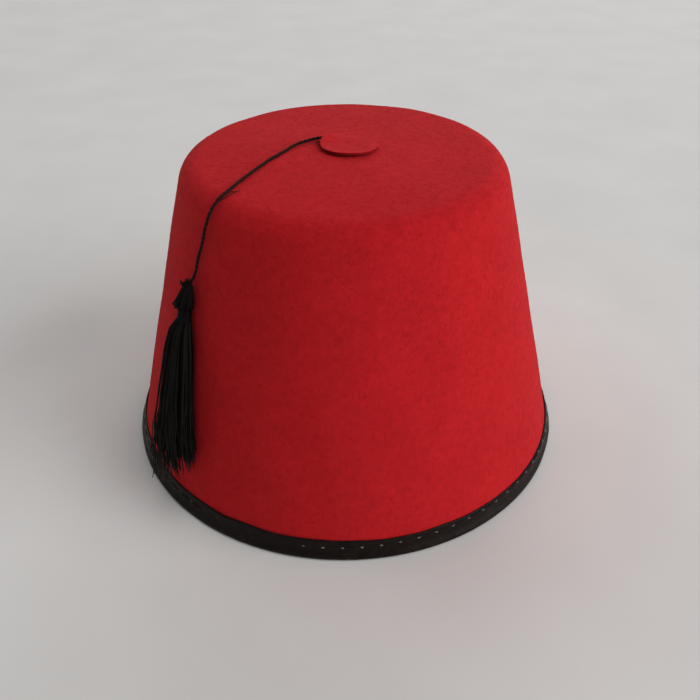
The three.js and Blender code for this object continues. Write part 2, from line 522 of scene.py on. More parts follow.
def add_camera():
    forward = (CAMERA_AIM - CAMERA_PLACE).normalized()
    right = forward.cross(Vector((0, 0, 1))).normalized()
    up = right.cross(forward)
    turn = Matrix((right, up, -forward)).transposed() @ Matrix.Rotation(CAMERA_ROLL, 3, "Z")
    data = bpy.data.cameras.new("camera")
    data.sensor_width = SENSOR_WIDTH
    data.lens = FOCAL_LENGTH / PHOTO_SIDE * SENSOR_WIDTH
    data.clip_start = NEAREST_SEEN
    data.clip_end = FARTHEST_SEEN
    camera = new_object("camera", data)
    camera.matrix_world = Matrix.Translation(CAMERA_PLACE) @ turn.to_4x4()
    bpy.context.scene.camera = camera


def add_floor():
    turn = np.arange(FLOOR_SIDES) * TURN / FLOOR_SIDES
    edge = np.column_stack([arc(FLOOR_RADIUS, turn), np.zeros(FLOOR_SIDES)])
    mesh = bpy.data.meshes.new("floor")
    mesh.from_pydata(edge.tolist(), [], [list(range(FLOOR_SIDES))])
    mesh.materials.append(floor_material())
    floor = new_object("floor", mesh)


def add_lamp(row):
    azimuth = math.radians(row.azimuth)
    elevation = math.radians(row.elevation)
    towards = Vector(around_axis(math.cos(elevation), azimuth, math.sin(elevation)))
    data = bpy.data.lights.new(row.name, "AREA")
    data.size = row.width
    data.energy = row.watts
    lamp = new_object(row.name, data)
    lamp.location = towards * row.distance
    lamp.rotation_mode = "QUATERNION"
    lamp.rotation_quaternion = towards.to_track_quat("Z", "Y")


def add_studio():
    """Light from all around, by its height above the horizon."""
    world = bpy.data.worlds.new("studio")
    bpy.context.scene.world = world
    world.use_nodes = True
    tree = world.node_tree
    split = tree.nodes.new("ShaderNodeSeparateXYZ")
    tree.links.new(tree.nodes.new("ShaderNodeTexCoord").outputs["Generated"], split.inputs[0])
    height = math_node(tree, "MULTIPLY_ADD", split.outputs["Z"], 0.5, 0.5)
    stops = [((sine + 1) / 2, shaded(STUDIO_COLOUR, strength)) for sine, strength in STUDIO]
    ramp(tree, height, stops, tree.nodes["Background"].inputs["Color"])
    bpy.context.scene.view_settings.view_transform = "Standard"


# Fibres

FIBRE_WIDTH = 0.055 * MM  # at the middle
FIBRE_THICKNESS = 0.012 * MM
FIBRE_POINTS = 5  # a start, three around the middle, an end
FIBRE_FACES = np.array([(2, 1, 0), (3, 2, 0), (1, 3, 0), (1, 2, 4), (2, 3, 4), (3, 1, 4)])
FIBRE_LENGTHS = (0.35, 1.0)  # shares of the longest
FIBRE_LIFT = 0.02 * MM  # usual height of the end of a fibre that lies
FIBRE_RISE = (0.15, 0.55)  # height of the end of one that stands, as shares of its length
FIBRE_SINK = 0.03 * MM  # of the start, under the surface
FIBRE_MIDDLE = 0.015 * MM  # least height of the middle
FIBRE_MIDDLE_LIFT = 0.4  # share of the end's height
FIBRE_END = 0.02 * MM  # least height of the end
FIBRE_BOW = 0.12  # usual bend sideways, as a share of the length
FIBRE_TILT = 0.3  # usual slope across the fibre


def fibre_shape(places, out, rng, longest, proud):
    """Closed, flattened spindles of six triangles that lie on a surface. The proud share stands up."""
    count = len(places)
    along = unit(np.cross(out, rng.normal(size=(count, 3))))
    beside = np.cross(out, along)
    length = (longest * rng.uniform(*FIBRE_LENGTHS, count))[:, None]
    lift = np.abs(rng.normal(0, FIBRE_LIFT, (count, 1)))
    stands = rng.random((count, 1)) < proud
    lift = np.where(stands, rng.uniform(*FIBRE_RISE, (count, 1)) * length, lift)
    start = places - along * length / 2 - out * FIBRE_SINK
    bow = beside * length * rng.normal(0, FIBRE_BOW, (count, 1))
    middle = places + bow + out * (FIBRE_MIDDLE + FIBRE_MIDDLE_LIFT * lift)
    end = places + along * length / 2 + out * (FIBRE_END + lift)
    half = unit(beside + out * rng.normal(0, FIBRE_TILT, (count, 1))) * FIBRE_WIDTH / 2
    corners = [start, middle + half, middle + out * FIBRE_THICKNESS, middle - half, end]
    first = (np.arange(count) * FIBRE_POINTS)[:, None, None]
    return np.stack(corners, axis=1).reshape(-1, 3), (first + FIBRE_FACES).reshape(-1, 3)


def add_felt_fibres(name, shape, rng, materials, stands_for):
    """A piece of felt fibres, each in one of several shades."""
    points, triangles = shape
    shades = rng.integers(0, len(materials), len(points) // FIBRE_POINTS)
    choices = np.repeat(shades, len(FIBRE_FACES))
    new_piece(name, points, [triangles], materials, [stands_for], choices, smooth=False)


# Cord

CORD_DIAMETER = 1.3 * MM
CORD_LENGTH = 122 * MM
CORD_SAMPLES = 320
PLY_PITCH = 3.8 * MM
PLY_SHARE = 0.27  # a ply's radius, as a share of the cord's diameter
# Where each ply starts around the cord, and how its thickness changes, as a share
PLIES = [(0, Ripple(0.09, 4 * MM, 62)), (math.pi, Ripple(0.09, 4 * MM, 63))]
PLY_SIDES = 12
PLY_STRANDS = 3
PLY_STRAND_DEPTH = 0.16
PLY_STRAND_PITCH = 1.7 * MM
TWIST_RIPPLES = [Ripple(0.5, 15 * MM, 61)]  # radians

# Where the cord runs, in millimetres: under the button, in the open as in the CAD model, in the tassel
CORD_UNDER_BUTTON = [(-3.8, 5.2, 126.8), (-6.2, 6.5, 126.95)]
CORD_ROUTE = [
    (-8.35, 7.1, 127.6), (-12, 5.9, 127.4), (-15.5, 3.9, 127.25), (-18.8, 0.5, 127.15),
    (-21.7, -4, 127.05), (-24.6, -8.4, 126.9), (-27.3, -12.3, 126.75), (-29.9, -16.8, 126.55),
    (-32.2, -21.1, 126.35), (-34.8, -26.1, 126.15), (-37.1, -30.6, 125.9), (-39.3, -35.1, 125.6),
    (-41.4, -39, 125.2), (-43.2, -41.6, 124.2), (-44.6, -43.1, 122.7), (-45.9, -44.1, 120.8),
    (-47, -44.7, 118.4), (-48.1, -45, 115.5), (-49, -45.2, 112.4), (-49.9, -45.3, 109.2),
    (-51.1, -45.2, 105.9), (-52.2, -45.2, 102.6), (-53.1, -45.5, 99.2), (-54.3, -45.7, 96.1),
    (-55.7, -45.7, 94.2), (-56.4, -45.6, 92.6),
]
CORD_IN_TASSEL = [(-57.4, -46.5, 88.4), (-58.6, -47.6, 83.2), (-59.8, -49, 78.2), (-60.7, -51.6, 73)]

# Threads that have come loose, in millimetres: the cord's end frays out from under the button, and two have
# left the cord at the shoulder.
LOOSE_THREADS = [
    [(-6.5, 5.6, 127.2), (-9.4, 4.4, 127.3), (-11.1, 4.1, 127.15)],
    [(-6.2, 4.8, 127.2), (-9.2, 2.9, 127.25), (-10.8, 1.9, 127.05)],
    [(-6, 4, 127.2), (-8.9, 1.6, 127.25), (-10.3, 0.3, 127)],
    [
        (-44.2, -42.4, 122.9), (-42.5, -41.4, 123.9), (-40.3, -40.1, 124.7),
        (-38.4, -37.8, 125), (-36.2, -35.7, 125.2),
    ],
    [(-42.9, -41.2, 124.3), (-40.9, -38.9, 125), (-39.4, -36.9, 125.3), (-38.1, -36.9, 125.1)],
]
LOOSE_SAMPLES = 16
LOOSE_RADIUS = 0.19 * MM
LOOSE_TAPER = 0.5
LOOSE_KINKS = [Ripple(0.12 * MM, 3 * MM, 64)]

HAIR_COUNT = 420
HAIR_SEED = 65
HAIR_FIRST = 12  # sample of the cord
HAIR_LAST = int(0.8 * CORD_SAMPLES)
HAIR_LONGEST = 1.7 * MM
HAIR_PROUD = 0.4
HAIR_ROOT = 0.4  # distance from the cord's middle, as a share of its diameter


def add_cord(path, material):
    """Two plies twisted into a thin, slightly uneven cord."""
    normal, across = (v[0] for v in carried_frames(path[None]))
    along = np.linspace(0, CORD_LENGTH, CORD_SAMPLES)
    ply_radius = CORD_DIAMETER * PLY_SHARE
    lay_radius = CORD_DIAMETER / 2 - ply_radius
    lay = TURN * along / PLY_PITCH + ripples(path, TWIST_RIPPLES)
    plies, radii = [], []
    for start, uneven in PLIES:
        turn = (lay + start)[:, None]
        plies.append(path + (np.cos(turn) * normal + np.sin(turn) * across) * lay_radius)
        radii.append(ply_radius * (1 + ripples(path, [uneven])))
    plies = np.array(plies)
    twist = -np.broadcast_to(TURN * along / PLY_STRAND_PITCH, plies.shape[:2])
    points, faces = tubes(plies, np.array(radii), PLY_SIDES, PLY_STRANDS, PLY_STRAND_DEPTH, twist)
    return new_piece("twisted_cord", points, faces, [material], ["tassel_cord"])


def add_loose_threads(material):
    paths = np.array([even_path(np.array(points) * MM, LOOSE_SAMPLES) for points in LOOSE_THREADS])
    kinks = ripples(paths.reshape(-1, 3), LOOSE_KINKS).reshape(*paths.shape[:2], 1)
    taper = 1 - LOOSE_TAPER * np.linspace(0, 1, LOOSE_SAMPLES) ** 3
    points, faces = tubes(paths + kinks, np.full(paths.shape[:2], LOOSE_RADIUS) * taper, THREAD_SIDES)
    return new_piece("loose_threads", points, faces, [material], ["tassel_cord"])


def add_cord_fuzz(path, material):
    """Fine hairs around the cord."""
    rng = np.random.default_rng(HAIR_SEED)
    normal, across = (v[0] for v in carried_frames(path[None]))
    place = rng.integers(HAIR_FIRST, HAIR_LAST, HAIR_COUNT)
    turn = rng.uniform(0, TURN, HAIR_COUNT)[:, None]
    out = np.cos(turn) * normal[place] + np.sin(turn) * across[place]
    roots = path[place] + out * CORD_DIAMETER * HAIR_ROOT
    points, triangles = fibre_shape(roots, out, rng, HAIR_LONGEST, HAIR_PROUD)
    return new_piece("cord_fuzz", points, [triangles], [material], ["tassel_cord"])


# Crown

CROWN_COLUMNS = 360
CROWN_STEP = 1.05 * MM  # between rows of the outer face
LINING_STEP = 4 * MM  # between rows of the inner face
CROWN_DENTS = [Ripple(0.30 * MM, 95 * MM, 5), Ripple(0.10 * MM, 26 * MM, 6)]
DENTS_START = 12 * MM  # height up to which the binding holds the felt round
DENTS_GROW = 20 * MM  # height over which the dents grow

# Loose fibres on the outer face, between shares of its profile
FIBRE_BANDS = [
    FibreBand("lower_side_fibres", 30000, 0.036, 0.36, 51),
    FibreBand("upper_side_fibres", 30000, 0.36, 0.70, 52),
    FibreBand("top_fibres", 14000, 0.70, 1.0, 53),
]
BAND_STEP = 0.5 * MM  # between rows where a fibre can be
BAND_LONGEST = 3.2 * MM
BAND_PROUD = 0.05


def crown_dent(points):
    """How far the felt stands out of its true shape at points on it."""
    fade = np.clip((points[:, 2] - DENTS_START) / DENTS_GROW, 0, 1)
    return fade * ripples(points, CROWN_DENTS)


def add_crown(material):
    outer, outer_out = turned_points(felt_profile(0, CROWN_STEP), CROWN_COLUMNS)
    inner, inner_in = turned_points(felt_profile(FELT, LINING_STEP)[::-1], CROWN_COLUMNS)
    outer += outer_out * crown_dent(outer)[:, None]
    inner -= inner_in * crown_dent(inner)[:, None]
    outer_rows = len(outer) // CROWN_COLUMNS
    inner_rows = len(inner) // CROWN_COLUMNS
    first_inner = len(outer)
    points = np.vstack([outer, inner, [[0, 0, TOP_HEIGHT]], [[0, 0, TOP_HEIGHT - FELT]]])
    faces = [
        grid(outer_rows, CROWN_COLUMNS),
        grid(inner_rows, CROWN_COLUMNS, first_inner),
        closing(CROWN_COLUMNS, first_inner + (inner_rows - 1) * CROWN_COLUMNS),
        fan((outer_rows - 1) * CROWN_COLUMNS, CROWN_COLUMNS, len(points) - 2),
        fan(first_inner, CROWN_COLUMNS, len(points) - 1)[:, ::-1],
    ]
    new_piece("felt_crown", points, faces, [material], ["crown"])


def add_crown_fibres(band, materials):
    """Loose fibres over a band of the crown's outer face."""
    rng = np.random.default_rng(band.seed)
    profile = felt_profile(0, BAND_STEP)
    out = profile_out(profile)
    rows = np.arange(int(band.lowest * len(profile)), int(band.highest * len(profile)))
    weight = profile[rows, 0] / profile[rows, 0].sum()
    row = rng.choice(rows, band.count, p=weight)
    azimuth = rng.uniform(-math.pi, math.pi, band.count)
    places = around_axis(profile[row, 0], azimuth, profile[row, 1])
    normal = around_axis(out[row, 0], azimuth, out[row, 1])
    places += normal * crown_dent(places)[:, None]
    shape = fibre_shape(places, normal, rng, BAND_LONGEST, BAND_PROUD)
    add_felt_fibres(band.name, shape, rng, materials, "crown")


# Rim binding

# Its section: distance outside the felt's outer face and height, in millimetres
BINDING_LINING = [
    (-2.12, 1), (-2.12, 4.5), (-2.12, 8), (-2.3, 8.32),
    (-2.55, 8.4), (-2.8, 8.25), (-2.95, 7.8), (-3, 6),
    (-3.08, 3.5), (-3.05, 1.6), (-2.8, 0.6), (-2.2, 0.12),
    (-1.4, 0),
]
BINDING_FACE = [
    (-0.9, 0), (-0.1, 0.03), (0.6, 0.25), (1.08, 0.7),
    (1.3, 1.35), (1.28, 2), (1.1, 2.7), (0.88, 3.5),
    (0.76, 4.4), (0.72, 5.2), (0.72, 6), (0.74, 7),
    (0.7, 8), (0.66, 8.7), (0.52, 8.97), (0.22, 8.97),
    (0.1, 8.7),
]
BINDING_SEAT = [(0.08, 8), (0.08, 4.5), (0.08, 1)]
BINDING_HEIGHT = 9 * MM  # of this section, at the outside
BINDING_COLUMNS = 948  # twelve for each stitch
BINDING_ROWS = 34  # of the face

# The strip's upper edge was sewn on lower at the right than at the left.
STRIP_DROP = 0.9 * MM  # on average
STRIP_SLANT = 1.05 * MM
STRIP_SLANT_START = math.radians(9)
STRIP_EDGE = [Ripple(0.22 * MM, 60 * MM, 21), Ripple(0.10 * MM, 14 * MM, 22)]
STRIP_SWELL = [Ripple(0.10 * MM, 30 * MM, 23), Ripple(0.05 * MM, 7 * MM, 24)]
SWELL_GROWS = 2 * MM  # height over which the swell grows

STITCH_COUNT = 79
STITCH_PITCH = TURN / STITCH_COUNT
STITCH_START = math.radians(-1.0)
STITCH_PULL = 0.18 * MM
DIMPLE_HALF_LENGTH = 1.25 * MM
DIMPLE_HALF_HEIGHT = 1.1 * MM
SEAM_HEIGHT = 5.8 * MM
SEAM_WANDER = 0.75 * MM
SEAM_WANDERS = 3  # times around the hat
SEAM_WANDER_START = math.radians(12)
SEAM_LEVEL = 0.56 * MM  # of a thread's centreline, out of the felt's face, before its rise
SEAM_DIP = 0.25 * MM
LOOP = SeamThread(1.05 * MM, 0.55 * MM, 7)
LOOP_RISE = 0.27 * MM
LOOP_SINK = 0.6 * MM  # of the deepest loops
LOOP_DEEPEST = math.radians(-42)
LOOP_DEEP_REACH = math.radians(35)
LOOP_UNEVEN = 0.03 * MM
LOOP_SEED = 25
BETWEEN_LOOPS = SeamThread(STITCH_PITCH * RIM_RADIUS - 1.0 * MM, 0.36 * MM, 13)
BETWEEN_RISE = 0.26 * MM


def strip_drop(azimuth):
    """How much lower than its section the strip's upper edge is."""
    return STRIP_DROP + STRIP_SLANT * np.sin(azimuth - STRIP_SLANT_START)


def seam_height(azimuth):
    """The seam wanders up and down a little around the hat."""
    return SEAM_HEIGHT + SEAM_WANDER * np.sin(SEAM_WANDERS * (azimuth - SEAM_WANDER_START))


def stitch_pull(azimuth, height):
    """How far the seam draws the strip in."""
    beside = offset(azimuth, STITCH_START, STITCH_PITCH) * RIM_RADIUS / DIMPLE_HALF_LENGTH
    above = (height - seam_height(azimuth)) / DIMPLE_HALF_HEIGHT
    return STITCH_PULL * np.exp(-(beside**2) - above**2)


def strip_place(azimuth, height, outside):
    """Points around the hat at heights, a horizontal distance outside the felt's outer face."""
    return around_axis(side_radius(height) + outside, azimuth, height).reshape(-1, 3)


def add_binding(material):
    """A strip folded over the felt's edge and drawn in by its stitches."""
    face = even_path(BINDING_FACE, BINDING_ROWS)
    section = np.vstack([BINDING_LINING, face, BINDING_SEAT]) * MM
    rows = len(section)
    row = np.arange(rows)[:, None]
    on_outside = row >= len(BINDING_LINING)
    on_face = on_outside & (row < len(BINDING_LINING) + len(face))
    azimuth = (np.arange(BINDING_COLUMNS) * TURN / BINDING_COLUMNS)[None]
    outside = section[:, :1] + 0 * azimuth
    height = section[:, 1:] + 0 * azimuth
    places = strip_place(azimuth, height, outside)
    edge = ripples(places, STRIP_EDGE).reshape(height.shape) - on_outside * strip_drop(azimuth)
    swell = ripples(places, STRIP_SWELL).reshape(height.shape) * np.clip(height / SWELL_GROWS, 0, 1)
    height = height + edge * np.clip(height / BINDING_HEIGHT, 0, 1) ** 2
    outside = outside + on_face * (swell - stitch_pull(azimuth, height))
    points = strip_place(azimuth, height, outside)
    faces = [grid(rows, BINDING_COLUMNS), closing(BINDING_COLUMNS, (rows - 1) * BINDING_COLUMNS)]
    new_piece("rim_strip", points, faces, [material], ["rim_binding"])


def seam_tubes(centres, thread, rise):
    """Short threads along the seam, whose ends dip through the strip. rise is how proud each one lies."""
    t = np.linspace(-1, 1, thread.steps)[None]
    azimuth = centres[:, None] + t * thread.length / 2 / RIM_RADIUS
    lift = SEAM_LEVEL + rise[:, None] * (1 - t**2) - SEAM_DIP * np.abs(t) ** 6
    paths = side_place(azimuth, seam_height(azimuth), 0.0, lift)
    return even_tubes(paths, thread.diameter / 2, THICK_THREAD_SIDES)


def add_stitches(light, dark):
    """Lock stitches: a light loop shows at each needle hole, with black thread between the holes. The
    thread's tension changes around the hat, so the loops lie deep at the left."""
    rng = np.random.default_rng(LOOP_SEED)
    holes = STITCH_START + np.arange(STITCH_COUNT) * STITCH_PITCH
    deep = np.exp(-((offset(holes, LOOP_DEEPEST) / LOOP_DEEP_REACH) ** 4))
    rise = LOOP_RISE - LOOP_SINK * deep + rng.normal(0, LOOP_UNEVEN, STITCH_COUNT)
    points, faces = seam_tubes(holes, LOOP, rise)
    new_piece("seam_loops", points, faces, [light], ["rim_binding"])
    rise = np.full(STITCH_COUNT, BETWEEN_RISE)
    points, faces = seam_tubes(holes + STITCH_PITCH / 2, BETWEEN_LOOPS, rise)
    new_piece("seam_thread", points, faces, [dark], ["rim_binding"])


# Button, with angles around it from +X

BUTTON_RADIUS = 11.2 * MM
BUTTON_THICKNESS = 1.1 * MM
BUTTON_ROUND = 0.42 * MM
BUTTON_PLACE = np.array((1.8, 0.4, 126.5)) * MM
BUTTON_COLUMNS = 160
BUTTON_FACE_ROWS = 23  # of its upper face, and of its lower one
BUTTON_ROUND_ROWS = 5
ROUND_FACE_ROWS = 3  # rows of the upper round that belong to the face
CORD_CROSSING = math.radians(146)
CORD_LIFT = 1.45 * MM
CORD_LIFT_REACH = 0.55  # radians
CORD_LIFT_START = 0.25  # share of the radius
FRONT = math.radians(-105)
FRONT_LIFT = 1.1 * MM
FRONT_LIFT_REACH = 0.85  # radians
PRESS_TOWARDS = 0.7  # radians
PRESS = 0.75 * MM  # down, at the edge
BUTTON_RIPPLES = [Ripple(0.10 * MM, 12 * MM, 31)]
EDGE_WANDERS = [(0.012, 3, 0.6), (0.008, 7, 2.0)]  # share of the radius, times around, start

BUTTON_FIBRES = 600
BUTTON_FIBRE_SEED = 54
BUTTON_FIBRE_LONGEST = 2.4 * MM
BUTTON_FIBRE_PROUD = 0.06
FIBRE_SPREAD = 1.03  # share of the radius out to which they are spread
FIBRE_EDGE = 0.97  # share of it past which they are on the cut edge
FIBRE_EDGE_LEVELS = (0.15, 0.9)  # shares of the thickness
FIBRE_EDGE_UP = 0.3  # of their direction out of the edge


def button_shape(points):
    """The button's places after it drapes over the cord and curls up a little at the front."""
    angle = np.arctan2(points[:, 1], points[:, 0])
    outer = np.hypot(points[:, 0], points[:, 1]) / BUTTON_RADIUS
    at_cord = np.exp(-((offset(angle, CORD_CROSSING) / CORD_LIFT_REACH) ** 2))
    at_front = np.exp(-((offset(angle, FRONT) / FRONT_LIFT_REACH) ** 2))
    past_start = np.clip((outer - CORD_LIFT_START) / (1 - CORD_LIFT_START), 0, 1)
    lift = CORD_LIFT * at_cord * past_start**1.5
    lift += FRONT_LIFT * at_front * outer**3
    lift -= PRESS * np.clip(np.cos(angle - PRESS_TOWARDS), 0, 1) * outer**2
    lift += ripples(points, BUTTON_RIPPLES)
    wander = 1 + sum(share * np.sin(times * angle + start) for share, times, start in EDGE_WANDERS)
    shaped = points.copy()
    shaped[:, :2] *= wander[:, None]
    shaped[:, 2] += lift
    return shaped + BUTTON_PLACE


def button_profile():
    """Radius and height from the axis out along the lower face, up the edge and back along the upper one."""
    edge = arc(BUTTON_ROUND, np.linspace(QUARTER, 0, BUTTON_ROUND_ROWS))
    flat_radius = BUTTON_RADIUS - BUTTON_ROUND
    upper = edge + [flat_radius, BUTTON_THICKNESS - BUTTON_ROUND]
    lower = edge[::-1] * [1, -1] + [flat_radius, BUTTON_ROUND]
    inside = np.linspace(POLE_RADIUS, flat_radius, BUTTON_FACE_ROWS + 1)[:-1]
    top = np.stack([inside, np.full_like(inside, BUTTON_THICKNESS)], axis=1)
    bottom = np.stack([inside, np.zeros_like(inside)], axis=1)
    return np.vstack([bottom, lower, upper[::-1], top[::-1]])


def add_button(materials):
    """A cut felt disc that covers the end of the cord. materials are its face's and its cut edge's; the
    edge's darker red is painted shade, for the shadow under the lifted edge.
    """
    profile = button_profile()
    rows = len(profile)
    points, _ = turned_points(profile, BUTTON_COLUMNS)
    points = np.vstack([points, [[0, 0, 0]], [[0, 0, BUTTON_THICKNESS]]])
    faces = [
        grid(rows, BUTTON_COLUMNS),
        fan(0, BUTTON_COLUMNS, len(points) - 2)[:, ::-1],
        fan((rows - 1) * BUTTON_COLUMNS, BUTTON_COLUMNS, len(points) - 1),
    ]
    row = np.repeat(np.arange(rows - 1), BUTTON_COLUMNS)
    # The side band of rows, the cut edge all around, gets the darker red of painted shade
    cut = (row >= BUTTON_FACE_ROWS) & (row < rows - BUTTON_FACE_ROWS - ROUND_FACE_ROWS)
    choices = np.concatenate([cut, np.zeros(2 * BUTTON_COLUMNS)])
    points = button_shape(points)
    new_piece("felt_button", points, faces, materials, ["top_button"], choices)


def add_button_fibres(materials):
    """Loose fibres on the button's face and around its cut edge."""
    rng = np.random.default_rng(BUTTON_FIBRE_SEED)
    turn = rng.uniform(0, TURN, BUTTON_FIBRES)
    share = np.sqrt(rng.random(BUTTON_FIBRES)) * FIBRE_SPREAD
    on_edge = share > FIBRE_EDGE
    radius = np.minimum(share, 1) * BUTTON_RADIUS
    level = np.where(on_edge, rng.uniform(*FIBRE_EDGE_LEVELS, BUTTON_FIBRES), 1) * BUTTON_THICKNESS
    places = np.column_stack([radius * np.cos(turn), radius * np.sin(turn), level])
    upwards = np.where(on_edge, FIBRE_EDGE_UP, 1.0)
    out = unit(np.column_stack([on_edge * np.cos(turn), on_edge * np.sin(turn), upwards]))
    shape = fibre_shape(button_shape(places), out, rng, BUTTON_FIBRE_LONGEST, BUTTON_FIBRE_PROUD)
    add_felt_fibres("button_fibres", shape, rng, materials, "top_button")


# Tassel, whose threads stand on the felt's side

# Sections of the skirt from the neck down: height on the side, azimuth in degrees, half width along the
# wall and half depth out of it, in millimetres
SKIRT_SECTIONS = [
    (81, -51, 2.3, 2),
    (78.8, -51, 2.6, 2.2),
    (75, -50.2, 4.4, 3.7),
    (67.5, -48.9, 5.7, 4.7),
    (59, -48, 6.2, 5.1),
    (52, -47.3, 6.7, 5.6),
    (45, -46.7, 7, 5.8),
    (38, -45.9, 7.6, 6.3),
    (30, -44.7, 7.4, 6.1),
    (26, -43.8, 7, 5.7),
    (16, -41.9, 6.4, 5.2),
]
SKIRT_SEED = 41
SKIRT_TOP = 80.5 * MM
SKIRT_STEPS = 34
SKIRT_OFF_FELT = 0.35 * MM
SKIRT_WOBBLE = 0.07  # share of the skirt's half width or depth
WOBBLE_GROWS = 1.4  # how fast the threads come loose below the neck
WOBBLE_TURNS = (0.6, 1.6)  # along a thread
THREAD_RADIUS = 0.24 * MM
THREAD_TAPER = 0.35

CLUMPS = 34
CLUMP_THREADS = 9
CLUMP_REACH = 0.93  # share of the skirt's half width and depth
CLUMP_SPREAD = 0.10
CLUMP_CROWDING = 0.38  # power of an even spread, for more clumps near the outside
NEAREST_FELT = -0.97  # share of the half depth
CLUMP_END = 27.0 * MM
CLUMP_END_SPREAD = 1.6 * MM
THREAD_END_SPREAD = 1.3 * MM
END_SLANT = 2.6 * MM  # how much higher the skirt ends at its right than at its middle
LONG_SHARE = 0.07
LONG_ENDS = (18.5 * MM, 24 * MM)

STRAYS = 44
STRAY_SIDEWAYS = (-0.9, 0.1)
STRAY_OUTWARDS = (0.1, 0.8)
STRAY_ENDS = (16 * MM, 27 * MM)
STRAY_SPLAY = 1.35
STRAY_LEAST = 0.2  # share of the splay
STRAY_LEFT = 0.6
STRAY_OUT = 0.7

KNOT_SEED = 43
KNOT_AZIMUTH = math.radians(-51)
BELL_THREADS = 190
BELL_STEPS = 14
BELL_DEPTHS = (0.72, 1.0)
BELL_TOP = 92.9 * MM
BELL_TIPS = (83.2 * MM, 85.0 * MM)
BELL_DROP = ([0, 0.15, 1], [0, 0.07, 1])  # along a thread, how far down it is
BELL_FLARE = ([0, 0.12, 0.4, 0.8, 1], [0.15, 0.5, 0.76, 0.95, 1.0])  # along a thread, how far out it is
BELL_UNEVEN = 0.12
BELL_HALF_WIDTH = 3.5 * MM
BELL_FRONT = 3.1 * MM
BELL_BACK = 2.5 * MM
BELL_KICK = 0.9 * MM  # further out at the tips, on the side away from the felt
BELL_MIDDLE = 3.0 * MM  # out of the felt, at the tips
BELL_LEAN = 0.5 * MM  # how much nearer to the felt the middle is at the top
BELL_RADIUS = 0.23 * MM

WRAP_TURNS = 7
WRAP_STEPS = 28  # in each turn
WRAP_BOTTOM = 79.0 * MM
WRAP_HEIGHT = 4.2 * MM
WRAP_HALF_WIDTH = 2.5 * MM
WRAP_HALF_DEPTH = 2.25 * MM
WRAP_MIDDLE = 2.8 * MM  # out of the felt
WRAP_RADIUS = 0.36 * MM

# Bunches of cut ends on top of the knot: distance out of the felt at the root and the tip, and the tip's
# height, in millimetres
TUFTS = [(3.4, 4.7, 93.5), (2.2, 2.3, 94.2), (2.8, 3.4, 93.4)]
TUFT_THREADS = 13
TUFT_STEPS = 8
TUFT_BOTTOM = 90.8 * MM
TUFT_TOP_SPREAD = 0.22 * MM
TUFT_ROOT_SPREAD = 0.35 * MM
TUFT_TIP_SPREAD = 0.3 * MM
TUFT_SIDE_SPREAD = 0.5 * MM
TUFT_SPLAY = 0.6 * MM
TUFT_NEAREST = 0.5 * MM  # to the felt
TUFT_RADIUS = 0.22 * MM


def skirt_at(height):
    """The skirt's azimuth, half width and half depth at heights on the side."""
    heights, azimuth, half_width, half_depth = np.array(SKIRT_SECTIONS[::-1]).T
    columns = np.radians(azimuth), half_width * MM, half_depth * MM
    return [np.interp(height, heights * MM, column) for column in columns]


def skirt_paths(rng, ends, spread_u, spread_v, splay=0.0):
    """Paths of threads that hang from the neck. ends are the heights of their tips, spread_u and spread_v
    their places in the skirt's section, and splay how far the tips stray out of it, to the left and out."""
    count = len(ends)
    t = np.linspace(0, 1, SKIRT_STEPS)[None]
    height = SKIRT_TOP + (ends[:, None] - SKIRT_TOP) * t
    azimuth, half_width, half_depth = skirt_at(height)
    loose = np.clip(t * WOBBLE_GROWS, 0, 1) * SKIRT_WOBBLE
    pace = rng.uniform(*WOBBLE_TURNS, (2, count, 1))
    start = rng.random((2, count, 1))
    stray = splay * rng.uniform(STRAY_LEAST, 1, (count, 1)) * t**5
    u = spread_u[:, None] + loose * np.sin(TURN * (t * pace[0] + start[0])) - STRAY_LEFT * stray
    v = spread_v[:, None] + loose * np.sin(TURN * (t * pace[1] + start[1])) + STRAY_OUT * stray
    return side_place(azimuth, height, u * half_width, SKIRT_OFF_FELT + (1 + v) * half_depth)


def clump_paths(rng):
    """Paths of the threads that hang in clumps, with ragged ends and some longer ones."""
    angle = rng.uniform(0, TURN, CLUMPS)
    radius = CLUMP_REACH * rng.random(CLUMPS) ** CLUMP_CROWDING
    count = CLUMPS * CLUMP_THREADS
    u = np.repeat(radius * np.cos(angle), CLUMP_THREADS) + rng.normal(0, CLUMP_SPREAD, count)
    v = np.repeat(radius * np.sin(angle), CLUMP_THREADS) + rng.normal(0, CLUMP_SPREAD, count)
    v = np.maximum(v, NEAREST_FELT)
    ends = np.repeat(rng.normal(CLUMP_END, CLUMP_END_SPREAD, CLUMPS), CLUMP_THREADS)
    ends = ends + rng.normal(0, THREAD_END_SPREAD, count) + END_SLANT * u
    ends = np.where(rng.random(count) < LONG_SHARE, rng.uniform(*LONG_ENDS, count), ends)
    return skirt_paths(rng, ends, u, v)


def stray_paths(rng):
    """Paths of a few threads at the left that stray over the binding."""
    u = rng.uniform(*STRAY_SIDEWAYS, STRAYS)
    v = rng.uniform(*STRAY_OUTWARDS, STRAYS)
    ends = rng.uniform(*STRAY_ENDS, STRAYS)
    return skirt_paths(rng, ends, u, v, STRAY_SPLAY)


def add_skirt(materials):
    """Loose threads. materials are those of a usual, a worn and a paler one: about a third of the threads
    in clumps are worn, and the strays are worn or paler."""
    rng = np.random.default_rng(SKIRT_SEED)
    clumps = clump_paths(rng)
    paths = np.concatenate([clumps, stray_paths(rng)])
    taper = 1 - THREAD_TAPER * np.linspace(0, 1, SKIRT_STEPS) ** 6
    points, faces = tubes(paths, np.full(paths.shape[:2], THREAD_RADIUS) * taper, THREAD_SIDES)
    shades = rng.integers(0, 3, len(paths)) // 2
    shades[-STRAYS:] = rng.integers(1, 3, STRAYS)
    choices = np.concatenate([np.repeat(shades, (SKIRT_STEPS - 1) * THREAD_SIDES), shades, shades])
    return new_piece("skirt_threads", points, faces, materials, ["tassel_skirt"], choices)


